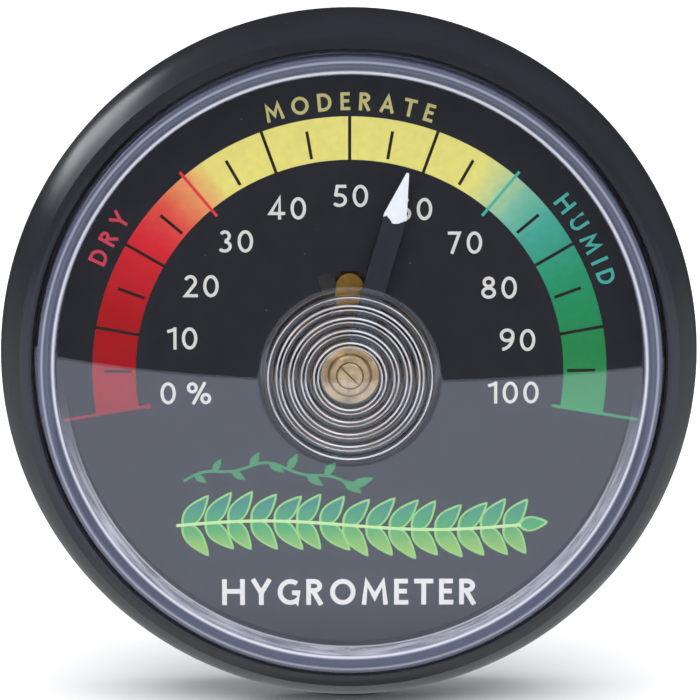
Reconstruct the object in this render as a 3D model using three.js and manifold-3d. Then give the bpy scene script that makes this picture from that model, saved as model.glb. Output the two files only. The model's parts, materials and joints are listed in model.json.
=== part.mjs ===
// A dial hygrometer, 75 mm across and 18 mm deep, that sticks to a wall of glass by a foam pad.
// Lengths are in millimetres. The model is drawn in a face frame: x to the right, y up and z out of
// the dial, with z = 0 on the pad's adhesive face. The outermost group then stands it upright, so
// that the finished part has +Z up and its dial looks along -Y.

import * as THREE from "three";
import { mergeVertices } from "three/addons/utils/BufferGeometryUtils.js";
import Module from "manifold-3d";

const wasm = await Module();
wasm.setup();

// ---- driving dimensions -------------------------------------------------------------------------

const CASE_R = 37.5; // the widest edge, on the bezel
const DEPTH = 18; // adhesive face to the crest of the window's rim
const GAP = 0.1; // between pieces that bear on each other
const FIT = 0.3; // between the large mouldings
const PIVOT_Y = -1.05; // the movement sits this far below the middle of the case

const PAD = { r: 20, thick: 1.0 };

const WINDOW = { faceZ: 17.2, thick: 1.6, rimR: 33.0, crestOuterR: 32.6, crestInnerR: 32.0 };
WINDOW.backZ = WINDOW.faceZ - WINDOW.thick;
WINDOW.faceR = 31.4; // where the rim rises out of the face
WINDOW.skirtR = 31.4; // inside of the skirt
WINDOW.flangeR = 35.0;
WINDOW.flangeTop = 14.0;
WINDOW.ridges = 5; // the rings moulded round the pivot
WINDOW.ridgeR = 3.3; // foot of the innermost ring
WINDOW.ridgePitch = 1.32;
WINDOW.ridgeWide = 0.6;
WINDOW.ridgeTall = 0.28;

const DIAL = { r: 33.3, frontZ: 12.9, thick: 0.6, holeR: 9.15, notchR: 10.9, notchHalf: 19 };
DIAL.backZ = DIAL.frontZ - DIAL.thick;

const BEZEL = { edgeZ: 8.9, rearZ: 8.2, lipR: 33.65, lipZ: 16.0, boreR: 35.5, stepZ: 14.3 };
BEZEL.slopeR = 35.0; // where the slope reaches the lip

const CASE = { wallR: 35.2, topZ: 12.0, innerR: 32.6, shoulderR: 37.0, shoulderZ: 7.9, floor: 1.6 };
CASE.backZ = PAD.thick + GAP;
CASE.floorZ = CASE.backZ + CASE.floor;
CASE.backR = 32.0;

const LUG = { count: 4, wide: 5, reach: 35.95, z0: 9.9, z1: 10.7 };
const VENT = { count: 4, r0: 23.8, r1: 28.8, half: 12 };

const PLATE = { r: 13.2, z0: 3.7, z1: 4.3 };
const BOSS = { r: 2.3, ring: 11.2, holeR: 0.95, holeZ: 1.8 };
const BOSS_ANGLES = [60, 180, 300]; // clockwise from 12 o'clock
const AIR_SLOT = { r0: 5.2, r1: 8.4, half: 38 };

const SCREW = { shankR: 0.8, headR: 1.6, headTall: 0.9, tipZ: 2.0, slotWide: 0.4, slotDeep: 0.4 };

const POST = { rivetR: 1.8, neckR: 1.2, flangeR: 3.0, shoulderR: 2.0, staffR: 0.8 };
const LEVER = { holeR: 2.1, ringR: 3.6, z0: 5.5, z1: 6.1, armWide: 1.7, standR0: 9.9, standR1: 10.4 };
LEVER.flag = { z0: 12.0, z1: 12.5, wide: 2.9, r0: 7.0, r1: 10.6 };

const COIL = { endR: 9.4, pitch: 1.36, turns: 5, thick: 0.3, z0: 7.4, z1: 10.9, tail: 9 };
const RIVET = { shankR: 0.45, headR: 0.85, holeR: 0.55, headTall: 0.35 };

const SLEEVE = { boreR: 0.9, r: 1.5, z0: 7.0, seatR: 2.15, seatZ: 13.4, seatTop: 13.7, topZ: 14.5 };
const COLLET = { boreR: 1.6, r: 2.25, z0: 7.3, z1: 11.0 };
const POINTER = { z0: 13.8, z1: 14.05, wide: 2.4, eyeR: 2.5, boreR: 1.6, length: 22.4, tip: 4.8 };
const READING = 15.9; // degrees clockwise of 12 o'clock at rest, 58 % on the scale
const COLLAR = { boreR: 1.6, r: 2.2, z0: 14.15, z1: 15.15, flangeR: 3.15, flangeTop: 14.5 };
const CAP_SCREW = { headR: 1.4, z0: 14.85, z1: 15.3, shankR: 0.4, tipZ: 11.0, slotTurn: -45 };

// How many facets a full turn gets.
const FACETS = { case: 64, window: 56, ridge: 32, plate: 40, hub: 24, pin: 16, coil: 24 };

// ---- colours ------------------------------------------------------------------------------------

const material = (color, roughness, metalness, extra = {}) =>
  new THREE.MeshStandardMaterial({ color, roughness, metalness, ...extra });

const blackGloss = () => material(0x141416, 0.25, 0);
const blackMatt = () => material(0x18181a, 0.55, 0);
const clear = () => material(0xf2f6ff, 0.05, 0, { transparent: true, opacity: 0.35 });
const printed = () => material(0x1d1e22, 0.45, 0);
const foam = () => material(0xe9e8e2, 0.95, 0);
const brass = () => material(0xb8904a, 0.35, 1);
const steel = () => material(0xa9adb2, 0.35, 1);
const nylon = () => material(0xe6e2d6, 0.5, 0);
const blackMetal = () => material(0x101114, 0.4, 0.2);
const coilStrip = () => material(0xa87e3c, 0.45, 0.8);

// ---- shaping ------------------------------------------------------------------------------------

const radians = (degrees) => (degrees * Math.PI) / 180;

// A point of the dial, by its distance from a centre and its angle clockwise from 12 o'clock.
const clock = (r, degrees) =>
  new THREE.Vector2(r * Math.sin(radians(degrees)), r * Math.cos(radians(degrees)));

// A solid of revolution about z. The profile's [radius, z] pairs run anticlockwise round the section.
function turned(profile, segments, closed = true) {
  const points = profile.map(([r, z]) => new THREE.Vector2(r, z));
  if (closed) points.push(points[0].clone());
  return new THREE.LatheGeometry(points, segments).rotateX(Math.PI / 2);
}

// A washer or a tube.
const ring = (r0, r1, z0, z1, segments) =>
  turned([[r0, z0], [r1, z0], [r1, z1], [r0, z1]], segments);

// A solid disc, whose profile starts and ends on the axis.
const disc = (r, z0, z1, segments) =>
  turned([[0, z0], [r, z0], [r, z1], [0, z1]], segments, false);

function raised(shape, z0, z1, curveSegments = 12) {
  const options = { depth: z1 - z0, bevelEnabled: false, curveSegments };
  return new THREE.ExtrudeGeometry(shape, options).translate(0, 0, z0);
}

// A block centred on x = 0, from y0 to y1 and z0 to z1.
const block = (wide, y0, y1, z0, z1) =>
  new THREE.BoxGeometry(wide, y1 - y0, z1 - z0).translate(0, (y0 + y1) / 2, (z0 + z1) / 2);

const atClock = (geometry, degrees) => geometry.rotateZ(-radians(degrees));

// A slot along an arc between two radii, reaching the same angle to each side of 12 o'clock.
function arcSlotShape(r0, r1, halfDegrees) {
  const from = Math.PI / 2 - radians(halfDegrees);
  const to = Math.PI / 2 + radians(halfDegrees);
  const shape = new THREE.Shape();
  shape.absarc(0, 0, r1, from, to, false);
  shape.absarc(0, 0, r0, to, from, true);
  return shape;
}

function solid(geometry) {
  const bare = geometry.index ? geometry.toNonIndexed() : geometry.clone();
  bare.deleteAttribute("normal");
  bare.deleteAttribute("uv");
  const merged = mergeVertices(bare, 1e-4);
  return new wasm.Manifold(
    new wasm.Mesh({
      numProp: 3,
      vertProperties: new Float32Array(merged.attributes.position.array),
      triVerts: new Uint32Array(merged.index.array),
    }),
  );
}

function geometryOf(manifold) {
  const made = manifold.getMesh();
  const geometry = new THREE.BufferGeometry();
  geometry.setAttribute("position", new THREE.BufferAttribute(made.vertProperties, 3));
  geometry.setIndex(new THREE.BufferAttribute(made.triVerts, 1));
  geometry.computeVertexNormals();
  return geometry;
}

const join = (first, ...others) => others.reduce((sum, next) => sum.add(solid(next)), first);
const cut = (first, ...others) => others.reduce((rest, next) => rest.subtract(solid(next)), first);

function piece(name, geometry, colour) {
  const mesh = new THREE.Mesh(geometry, colour);
  mesh.name = name;
  return mesh;
}

// ---- case ---------------------------------------------------------------------------------------

function adhesivePad() {
  return piece("adhesive_pad", disc(PAD.r, 0, PAD.thick, FACETS.plate), foam());
}

// A shallow cup: vented back, flared wall with a shoulder for the bezel, and a rim for the dial.
function rearCase() {
  const flare = [
    [CASE.backR, CASE.backZ],
    [CASE.backR + 0.9, CASE.backZ + 0.7],
    [CASE.shoulderR - 0.4, CASE.shoulderZ - 0.6],
    [CASE.shoulderR, CASE.shoulderZ],
  ];
  const rim = [
    [CASE.wallR, CASE.shoulderZ],
    [CASE.wallR, CASE.topZ],
    [CASE.innerR, CASE.topZ],
  ];
  const inside = [
    [CASE.innerR, CASE.shoulderZ],
    [CASE.backR - 1.2, CASE.floorZ + 0.8],
    [CASE.backR - 2.0, CASE.floorZ],
  ];
  const profile = [[0, CASE.backZ], ...flare, ...rim, ...inside, [0, CASE.floorZ]];
  let shell = solid(turned(profile, FACETS.case, false));

  for (let i = 0; i < LUG.count; i++) {
    const lug = block(LUG.wide, CASE.wallR - 0.8, LUG.reach, LUG.z0, LUG.z1);
    shell = join(shell, atClock(lug, 45 + (360 / LUG.count) * i));
  }
  for (const angle of BOSS_ANGLES) {
    const at = clock(BOSS.ring, angle);
    const boss = disc(BOSS.r, CASE.floorZ - 0.4, PLATE.z0 - GAP, FACETS.pin);
    const hole = disc(BOSS.holeR, BOSS.holeZ, PLATE.z0 + 1, 12);
    shell = join(shell, boss.translate(at.x, at.y + PIVOT_Y, 0));
    shell = cut(shell, hole.translate(at.x, at.y + PIVOT_Y, 0));
  }
  for (let i = 0; i < VENT.count; i++) {
    const slot = raised(arcSlotShape(VENT.r0, VENT.r1, VENT.half), 0, CASE.floorZ + 1, 6);
    shell = cut(shell, atClock(slot, (360 / VENT.count) * i));
  }
  return piece("rear_case", geometryOf(shell), blackMatt());
}

// The ring that snaps over the rear case and holds the window and the dial down.
function bezelRing() {
  const steps = 4;
  const slopeTop = BEZEL.lipZ - 0.35;
  const slope = Array.from({ length: steps + 1 }, (_, i) => {
    const t = i / steps;
    const r = CASE_R - (CASE_R - BEZEL.slopeR) * t + 0.45 * Math.sin(Math.PI * t);
    return [r, BEZEL.edgeZ + (slopeTop - BEZEL.edgeZ) * t];
  });
  const profile = [
    [BEZEL.boreR, BEZEL.rearZ],
    [CASE_R - 0.2, BEZEL.rearZ],
    ...slope,
    [BEZEL.lipR + 0.5, BEZEL.lipZ],
    [BEZEL.lipR, BEZEL.lipZ - 0.1],
    [BEZEL.lipR, BEZEL.stepZ],
    [BEZEL.boreR, BEZEL.stepZ],
  ];
  let shell = solid(turned(profile, FACETS.case));
  for (let i = 0; i < LUG.count; i++) {
    const pocket = block(
      LUG.wide + 2 * FIT,
      BEZEL.boreR - 1,
      LUG.reach + FIT,
      LUG.z0 - FIT,
      LUG.z1 + FIT,
    );
    shell = cut(shell, atClock(pocket, 45 + (360 / LUG.count) * i));
  }
  return piece("bezel_ring", geometryOf(shell), blackGloss());
}

// ---- window and dial ----------------------------------------------------------------------------

// The clear cover: a flat face inside a raised rim, a skirt that stands on the dial, and a flange.
function windowCover() {
  const cover = turned(
    [
      [0, WINDOW.backZ],
      [WINDOW.skirtR, WINDOW.backZ],
      [WINDOW.skirtR, DIAL.frontZ + FIT],
      [DIAL.r + 0.2, DIAL.frontZ + FIT],
      [DIAL.r + 0.2, DIAL.backZ],
      [WINDOW.flangeR, DIAL.backZ],
      [WINDOW.flangeR, WINDOW.flangeTop],
      [WINDOW.rimR, WINDOW.flangeTop],
      [WINDOW.rimR, DEPTH - 0.5],
      [WINDOW.crestOuterR, DEPTH],
      [WINDOW.crestInnerR, DEPTH],
      [WINDOW.faceR, WINDOW.faceZ],
      [0, WINDOW.faceZ],
    ],
    FACETS.window,
    false,
  );
  let shell = solid(cover);
  for (let i = 0; i < WINDOW.ridges; i++) {
    const foot = WINDOW.ridgeR + WINDOW.ridgePitch * i;
    const ridge = turned(
      [
        [foot, WINDOW.faceZ - 0.2],
        [foot + WINDOW.ridgeWide, WINDOW.faceZ - 0.2],
        [foot + WINDOW.ridgeWide - 0.1, WINDOW.faceZ + WINDOW.ridgeTall],
        [foot + 0.1, WINDOW.faceZ + WINDOW.ridgeTall],
      ],
      FACETS.ridge,
    );
    shell = join(shell, ridge.translate(0, PIVOT_Y, 0));
  }
  return piece("window", geometryOf(shell), clear());
}

// The printed plate, open in the middle for the coil and notched at 12 o'clock for the lever.
function dialPlate() {
  let plate = solid(disc(DIAL.r, DIAL.backZ, DIAL.frontZ, FACETS.case));
  const hole = disc(DIAL.holeR, DIAL.backZ - 1, DIAL.frontZ + 1, FACETS.plate).translate(0, PIVOT_Y, 0);
  const notch = raised(
    arcSlotShape(DIAL.holeR - 1, DIAL.notchR, DIAL.notchHalf),
    DIAL.backZ - 1,
    DIAL.frontZ + 1,
  );
  plate = cut(plate, hole, notch.translate(0, PIVOT_Y, 0));
  return piece("dial_plate", geometryOf(plate), printed());
}

// ---- movement, drawn about its own pivot --------------------------------------------------------

// The plate that carries the post, screwed to three bosses of the case.
function movementPlate() {
  let plate = solid(ring(POST.neckR + GAP, PLATE.r, PLATE.z0, PLATE.z1, FACETS.plate));
  for (const angle of BOSS_ANGLES) {
    const at = clock(BOSS.ring, angle);
    const hole = disc(SCREW.shankR + 0.2, PLATE.z0 - 1, PLATE.z1 + 1, 12);
    const air = raised(arcSlotShape(AIR_SLOT.r0, AIR_SLOT.r1, AIR_SLOT.half), 0, DEPTH, 8);
    plate = cut(plate, hole.translate(at.x, at.y, 0), atClock(air, angle));
  }
  return piece("movement_plate", geometryOf(plate), blackMetal());
}

// A slotted pan-head screw; its slot is turned a little differently on each.
function movementScrew(index, angle) {
  const headZ = PLATE.z1 + GAP;
  const top = headZ + SCREW.headTall;
  const profile = [
    [0, SCREW.tipZ],
    [SCREW.shankR * 0.5, SCREW.tipZ],
    [SCREW.shankR, SCREW.tipZ + 0.5],
    [SCREW.shankR, headZ],
    [SCREW.headR, headZ],
    [SCREW.headR, headZ + SCREW.headTall * 0.5],
    [SCREW.headR * 0.7, top],
    [0, top],
  ];
  const slot = block(SCREW.slotWide, -2, 2, top - SCREW.slotDeep, top + 1);
  const made = cut(solid(turned(profile, FACETS.pin, false)), slot.rotateZ(radians(20 + 50 * index)));
  const mesh = piece("movement_screw_" + (index + 1), geometryOf(made), steel());
  const at = clock(BOSS.ring, angle);
  mesh.position.set(at.x, at.y, 0);
  return mesh;
}

// The fixed staff, riveted into the plate: flange, shoulder for the lever, and a slim upper part.
function pivotPost() {
  const flangeZ = PLATE.z1 + GAP;
  const flangeTop = flangeZ + 0.6;
  const shoulderTop = LEVER.z1 + 0.5;
  const staffTop = SLEEVE.topZ - 0.1;
  const profile = [
    [0, PLATE.z0 - GAP - 0.4],
    [POST.rivetR, PLATE.z0 - GAP - 0.4],
    [POST.rivetR, PLATE.z0 - GAP],
    [POST.neckR, PLATE.z0 - GAP],
    [POST.neckR, flangeZ],
    [POST.flangeR, flangeZ],
    [POST.flangeR, flangeTop],
    [POST.shoulderR, flangeTop],
    [POST.shoulderR, shoulderTop],
    [POST.staffR, shoulderTop],
    [POST.staffR, staffTop],
    [CAP_SCREW.shankR + GAP, staffTop],
    [CAP_SCREW.shankR + GAP, CAP_SCREW.tipZ - 0.3],
    [0, CAP_SCREW.tipZ - 0.3],
  ];
  return piece("pivot_post", turned(profile, FACETS.hub, false), brass());
}

// A wavy spring washer between the post's flange and the lever gives the lever its friction.
function springWasher() {
  const z0 = PLATE.z1 + GAP + 0.6 + GAP;
  return piece("lever_spring_washer", ring(POST.shoulderR + GAP, 3.1, z0, LEVER.z0 - GAP, FACETS.hub), steel());
}

function leverRetainer() {
  const z0 = LEVER.z1 + GAP;
  return piece("lever_retainer", ring(POST.shoulderR + GAP, 3.0, z0, z0 + 0.4, FACETS.hub), steel());
}

// The calibration lever: a ring on the post, an arm, an upright that holds the coil's outer end,
// and a round-ended flag that shows in the dial's notch.
function calibrationLever() {
  const armEnd = LEVER.standR1;
  const { flag } = LEVER;
  const round = new THREE.Shape();
  round.moveTo(-flag.wide / 2, flag.r0);
  round.lineTo(flag.wide / 2, flag.r0);
  round.absarc(0, flag.r1 - flag.wide / 2, flag.wide / 2, 0, Math.PI, false);

  let lever = solid(ring(LEVER.holeR, LEVER.ringR, LEVER.z0, LEVER.z1, FACETS.hub));
  lever = join(
    lever,
    block(LEVER.armWide, LEVER.ringR - 0.6, armEnd, LEVER.z0, LEVER.z1),
    block(LEVER.armWide, LEVER.standR0, armEnd, LEVER.z0, flag.z1),
    raised(round, flag.z0, flag.z1, 14),
  );
  const hole = disc(RIVET.holeR, -2, 2, 12).rotateX(-Math.PI / 2);
  lever = cut(lever, hole.translate(0, LEVER.standR0, rivetZ()));
  return piece("calibration_lever", geometryOf(lever), brass());
}

const rivetZ = () => (COIL.z0 + COIL.z1) / 2;

function coilRivet() {
  const inner = COIL.endR - COIL.thick / 2 - 0.2;
  const outer = LEVER.standR1 + GAP;
  const profile = [
    [0, inner - RIVET.headTall],
    [RIVET.headR * 0.8, inner - RIVET.headTall],
    [RIVET.headR, inner],
    [RIVET.shankR, inner],
    [RIVET.shankR, outer],
    [RIVET.headR, outer],
    [RIVET.headR * 0.8, outer + RIVET.headTall],
    [0, outer + RIVET.headTall],
  ];
  const rivet = turned(profile, FACETS.pin, false).rotateX(-Math.PI / 2).translate(0, 0, rivetZ());
  return piece("coil_rivet", rivet, brass());
}

// The strip's centre line closes in by one pitch each turn, clockwise from the rivet.
const coilRadius = (degrees) => COIL.endR - (COIL.pitch * degrees) / 360;

function humidityCoil() {
  const last = 360 * COIL.turns;
  const count = FACETS.coil * COIL.turns;
  const angles = Array.from({ length: count + 1 }, (_, i) => -COIL.tail + ((last + COIL.tail) * i) / count);
  const outside = angles.map((a) => clock(coilRadius(a) + COIL.thick / 2, a));
  const inside = angles.map((a) => clock(coilRadius(a) - COIL.thick / 2, a)).reverse();
  const strip = raised(new THREE.Shape([...outside, ...inside]), COIL.z0, COIL.z1);
  const hole = disc(RIVET.holeR, -1, 1, 12).rotateX(-Math.PI / 2);
  const made = cut(solid(strip), hole.translate(0, COIL.endR, rivetZ()));
  return piece("humidity_coil", geometryOf(made), coilStrip());
}

// The collet grips the inner end of the coil on the sleeve.
function coilCollet() {
  const { boreR, r, z0, z1 } = COLLET;
  const body = solid(ring(boreR, r, z0, z1, FACETS.hub));
  const saw = block(0.3, -0.2, r + 1, z1 - 1.6, z1 + 1);
  return piece("coil_collet", geometryOf(cut(body, saw.rotateZ(radians(150)))), brass());
}

// The sleeve turns on the post and carries the collet behind and the pointer in front.
function pointerSleeve() {
  const { boreR, r, z0, seatR, seatZ, seatTop, topZ } = SLEEVE;
  const profile = [
    [boreR, z0],
    [r, z0],
    [r, seatZ - 0.4],
    [seatR, seatZ],
    [seatR, seatTop],
    [r, seatTop],
    [r, topZ],
    [boreR, topZ],
  ];
  return piece("pointer_sleeve", turned(profile, FACETS.hub), brass());
}

function thrustWashers() {
  const rearZ = LEVER.z1 + 0.5 + GAP;
  const frontZ = SLEEVE.topZ + GAP;
  return [
    piece("rear_thrust_washer", ring(POST.staffR + GAP, 1.9, rearZ, SLEEVE.z0 - GAP, FACETS.hub), nylon()),
    piece("front_thrust_washer", ring(CAP_SCREW.shankR + GAP, 1.35, frontZ, frontZ + 0.15, FACETS.hub), nylon()),
  ];
}

// A flat strip with an eye at one end and a point at the other, drawn at 12 o'clock.
function pointer() {
  const half = POINTER.wide / 2;
  const eyeTurn = Math.asin(half / POINTER.eyeR);
  const shape = new THREE.Shape();
  shape.moveTo(half, POINTER.eyeR * Math.cos(eyeTurn));
  shape.lineTo(half, POINTER.length - POINTER.tip);
  shape.lineTo(0, POINTER.length);
  shape.lineTo(-half, POINTER.length - POINTER.tip);
  shape.absarc(0, 0, POINTER.eyeR, Math.PI / 2 + eyeTurn, Math.PI * 2.5 - eyeTurn, false);
  const blade = raised(shape, POINTER.z0, POINTER.z1, 14);
  const hole = disc(POINTER.boreR, POINTER.z0 - 1, POINTER.z1 + 1, FACETS.hub);
  return piece("pointer", geometryOf(cut(solid(blade), hole)), blackMetal());
}

// The flanged collar that holds the pointer down on the sleeve.
function pointerCollar() {
  const { boreR, r, z0, z1, flangeR, flangeTop } = COLLAR;
  const profile = [
    [boreR, z0],
    [flangeR, z0],
    [flangeR, flangeTop],
    [r, flangeTop],
    [r, z1 - 0.15],
    [r - 0.15, z1],
    [boreR, z1],
  ];
  return piece("pointer_collar", turned(profile, FACETS.hub), brass());
}

// The slotted screw in the end of the post, which keeps the sleeve on.
function capScrew() {
  const { headR, z0, z1, shankR, tipZ, slotTurn } = CAP_SCREW;
  const profile = [
    [0, tipZ],
    [shankR, tipZ],
    [shankR, z0],
    [headR, z0],
    [headR, z1 - 0.1],
    [headR - 0.1, z1],
    [0, z1],
  ];
  const slot = block(0.3, -2, 2, z1 - 0.22, z1 + 1).rotateZ(radians(90 + slotTurn));
  const made = cut(solid(turned(profile, FACETS.hub, false)), slot);
  return piece("retaining_screw", geometryOf(made), brass());
}

// ---- assembly -----------------------------------------------------------------------------------

const sleeveGroup = new THREE.Group();
sleeveGroup.rotation.z = -radians(READING);
sleeveGroup.add(pointerSleeve(), coilCollet(), pointer(), pointerCollar());

const movement = new THREE.Group();
movement.position.y = PIVOT_Y;
movement.add(
  movementPlate(),
  ...BOSS_ANGLES.map((angle, index) => movementScrew(index, angle)),
  pivotPost(),
  springWasher(),
  calibrationLever(),
  leverRetainer(),
  coilRivet(),
  humidityCoil(),
  ...thrustWashers(),
  sleeveGroup,
  capScrew(),
);

const face = new THREE.Group();
face.rotation.x = Math.PI / 2;
face.add(adhesivePad(), rearCase(), bezelRing(), windowCover(), dialPlate(), movement);

const hygrometer = new THREE.Group();
hygrometer.add(face);

export default hygrometer;
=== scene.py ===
"""The finished look of a dial hygrometer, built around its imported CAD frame.

Shapes are drawn in the face frame: x to the right, y up and z out of the dial, in millimetres, with
z = 0 on the back of the adhesive pad. face_to_row() takes a point from there to the row's frame.
"""

import json
import math
import random
from math import cos, pi, radians, sin

import bpy
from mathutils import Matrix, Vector
from mathutils.geometry import delaunay_2d_cdt


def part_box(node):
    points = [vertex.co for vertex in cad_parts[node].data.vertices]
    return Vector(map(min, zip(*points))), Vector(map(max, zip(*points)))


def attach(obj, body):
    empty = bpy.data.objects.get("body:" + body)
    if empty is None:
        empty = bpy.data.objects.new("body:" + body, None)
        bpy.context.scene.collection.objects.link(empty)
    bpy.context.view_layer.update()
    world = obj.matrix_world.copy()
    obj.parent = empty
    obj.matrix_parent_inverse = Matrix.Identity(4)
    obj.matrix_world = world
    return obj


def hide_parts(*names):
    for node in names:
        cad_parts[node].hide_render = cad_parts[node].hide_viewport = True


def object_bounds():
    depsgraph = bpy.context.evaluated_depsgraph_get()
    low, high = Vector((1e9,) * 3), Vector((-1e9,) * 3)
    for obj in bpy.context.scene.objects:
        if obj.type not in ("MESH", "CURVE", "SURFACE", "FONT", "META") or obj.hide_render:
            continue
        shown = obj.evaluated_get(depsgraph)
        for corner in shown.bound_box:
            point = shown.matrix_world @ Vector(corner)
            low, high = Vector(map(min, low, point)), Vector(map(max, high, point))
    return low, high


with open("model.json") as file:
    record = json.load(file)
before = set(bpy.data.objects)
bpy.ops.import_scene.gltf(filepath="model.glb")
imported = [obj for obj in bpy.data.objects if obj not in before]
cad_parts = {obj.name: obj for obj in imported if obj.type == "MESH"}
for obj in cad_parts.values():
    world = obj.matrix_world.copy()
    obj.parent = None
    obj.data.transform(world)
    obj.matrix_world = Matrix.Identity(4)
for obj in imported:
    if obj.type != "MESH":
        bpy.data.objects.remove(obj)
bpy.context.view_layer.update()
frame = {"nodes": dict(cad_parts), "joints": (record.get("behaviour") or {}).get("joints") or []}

MM = 0.001


# ---- the frame's measures ----

def face_box(node):
    """(x0, x1), (y0, y1), (z0, z1) of a CAD node in the face frame."""
    low, high = (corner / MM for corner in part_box(node))
    return (low.x, high.x), (low.z, high.z), (-high.y, -low.y)


PIVOT_Y = next(j for j in frame["joints"] if j["name"] == "pointer_turn")["pos_m"][2] / MM
PIVOT = (0.0, PIVOT_Y)
CASE_R = face_box("bezel_ring")[0][1]
BEZEL_REAR, BEZEL_TOP = face_box("bezel_ring")[2]
CASE_REAR, CASE_TOP = face_box("rear_case")[2]
CREST = face_box("window")[2][1]
DIAL_BACK, DIAL_FRONT = face_box("dial_plate")[2]
DIAL_R = face_box("dial_plate")[0][1]
PAD_R = face_box("adhesive_pad")[0][1]
PAD_FRONT = face_box("adhesive_pad")[2][1]
COIL_BACK, COIL_FRONT = face_box("humidity_coil")[2]
POINTER_BACK, POINTER_FRONT = face_box("pointer")[2]
COLLAR_BACK, COLLAR_FRONT = face_box("pointer_collar")[2]
COLLAR_R = face_box("pointer_collar")[0][1]
SCREW_FRONT = face_box("retaining_screw")[2][1]
SCREW_R = face_box("retaining_screw")[0][1]
LEVER_BACK, LEVER_FRONT = face_box("calibration_lever")[2]
LEVER_TOP = face_box("calibration_lever")[1][1] - PIVOT_Y

SCALE_STEP = 9.96  # degrees for each 5 %
FULL_TURN = 360
SHARP_DEGREES = 35  # a sharper edge than this is not shaded smooth


def scale_angle(percent):
    """Degrees clockwise from 12 o'clock of a reading on the scale."""
    return (percent - 50) / 5 * SCALE_STEP


# ---- meshes ----

def face_to_row(x, y, z):
    return Vector((x, -z, y)) * MM


def mesh_object(name, points, faces, sharp_degrees=SHARP_DEGREES):
    """A mesh from points of the face frame, smooth except at edges sharper than sharp_degrees."""
    mesh = bpy.data.meshes.new(name)
    mesh.from_pydata([face_to_row(*p) for p in points], [], faces)
    mesh.validate()
    finish_normals(mesh, sharp_degrees)
    return new_object(name, mesh)


def new_object(name, data):
    """An object in the scene for a mesh, a lamp or a camera."""
    made = bpy.data.objects.new(name, data)
    bpy.context.scene.collection.objects.link(made)
    return made


def finish_normals(mesh, sharp_degrees=SHARP_DEGREES):
    mesh.polygons.foreach_set("use_smooth", [True] * len(mesh.polygons))
    mesh.set_sharp_from_angle(angle=radians(sharp_degrees))
    mesh.update()


def clock(r, degrees, centre=(0, 0)):
    """The point at a radius and at an angle clockwise from 12 o'clock."""
    a = radians(degrees)
    return centre[0] + r * sin(a), centre[1] + r * cos(a)


def rounded(corners, steps=4):
    """A section whose corners, (r, z, fillet), are rounded. The points beside each fillet hold the
    flat stretches flat when the surface is shaded smooth."""
    made = []
    for i, (r, z, fillet) in enumerate(corners):
        here = Vector((r, z))
        if not fillet:
            made.append((r, z))
            continue
        before = Vector(corners[i - 1][:2]) - here
        after = Vector(corners[(i + 1) % len(corners)][:2]) - here
        reach = min(fillet, 0.45 * before.length, 0.45 * after.length)
        before, after = before.normalized() * reach, after.normalized() * reach
        start, end = here + before, here + after
        made.append(tuple(start + before * 0.1))
        for k in range(steps + 1):
            t = k / steps
            made.append(tuple((1 - t) ** 2 * start + 2 * t * (1 - t) * here + t * t * end))
        made.append(tuple(end + after * 0.1))
    return made


def skinned(name, loops, closed, segments, sharp_degrees=SHARP_DEGREES):
    """A surface through a row of circles, each (centre, radius, z). A radius of 0 is a pole."""
    points, rows = [], []
    for (cx, cy), r, z in loops:
        if r == 0:
            rows.append([len(points)] * segments)
            points.append((cx, cy, z))
            continue
        rows.append([len(points) + k for k in range(segments)])
        for k in range(segments):
            a = 2 * pi * k / segments
            points.append((cx + r * cos(a), cy + r * sin(a), z))
    faces = []
    pairs = list(zip(rows, rows[1:])) + ([(rows[-1], rows[0])] if closed else [])
    for low, high in pairs:
        for k in range(segments):
            n = (k + 1) % segments
            face = dict.fromkeys((low[k], low[n], high[n], high[k]))
            if len(face) > 2:
                faces.append(tuple(face))
    return mesh_object(name, points, faces, sharp_degrees)


def turned(name, corners, centre=(0, 0), segments=160):
    """A solid of revolution. Corners are (r, z, fillet), anticlockwise round the section. One that
    starts on the axis also ends on it."""
    closed = corners[0][0] > 0
    return skinned(name, [(centre, r, z) for r, z in rounded(corners)], closed, segments)


def slab(name, outlines, z0, z1, holes=()):
    """A flat plate over the union of some outlines, which may overlap, with holes through it."""
    points, edges = [], []
    for outline in [*outlines, *holes]:
        start, count = len(points), len(outline)
        edges += [(start + k, start + (k + 1) % count) for k in range(count)]
        points += [Vector(p) for p in outline]
    flat, _, faces, _, _, _ = delaunay_2d_cdt(points, edges, [], 0, 1e-5)

    def kept(face):
        middle = sum((flat[i] for i in face), Vector((0, 0))) / len(face)
        return any(holds(o, middle) for o in outlines) and not any(holds(hole, middle) for hole in holes)
    return raised(name, flat, [f for f in faces if kept(f)], z0, z1)


def holds(outline, point):
    """True where a point lies inside an outline."""
    x, y = point
    if not (min(p[0] for p in outline) < x < max(p[0] for p in outline)):
        return False
    inside = False
    for a, b in zip(outline, [*outline[1:], outline[0]]):
        if (a[1] > y) != (b[1] > y) and x < a[0] + (b[0] - a[0]) * (y - a[1]) / (b[1] - a[1]):
            inside = not inside
    return inside


def raised(name, flat, faces, z0, z1):
    """Gives a flat mesh thickness: its faces in front and behind, and a wall along its free edges."""
    used = sorted({i for f in faces for i in f})
    place = {old: new for new, old in enumerate(used)}
    flat, faces = [flat[i] for i in used], [[place[i] for i in f] for f in faces]
    count = len(flat)
    points = [(p.x, p.y, z1) for p in flat] + [(p.x, p.y, z0) for p in flat]
    faces = [f if signed_area(flat, f) > 0 else f[::-1] for f in faces]
    directed = {(f[i - 1], f[i]) for f in faces for i in range(len(f))}
    walls = [(b, a, a + count, b + count) for a, b in directed if (b, a) not in directed]
    backs = [tuple(i + count for i in reversed(f)) for f in faces]
    return mesh_object(name, points, [tuple(f) for f in faces] + backs + walls)


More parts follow.
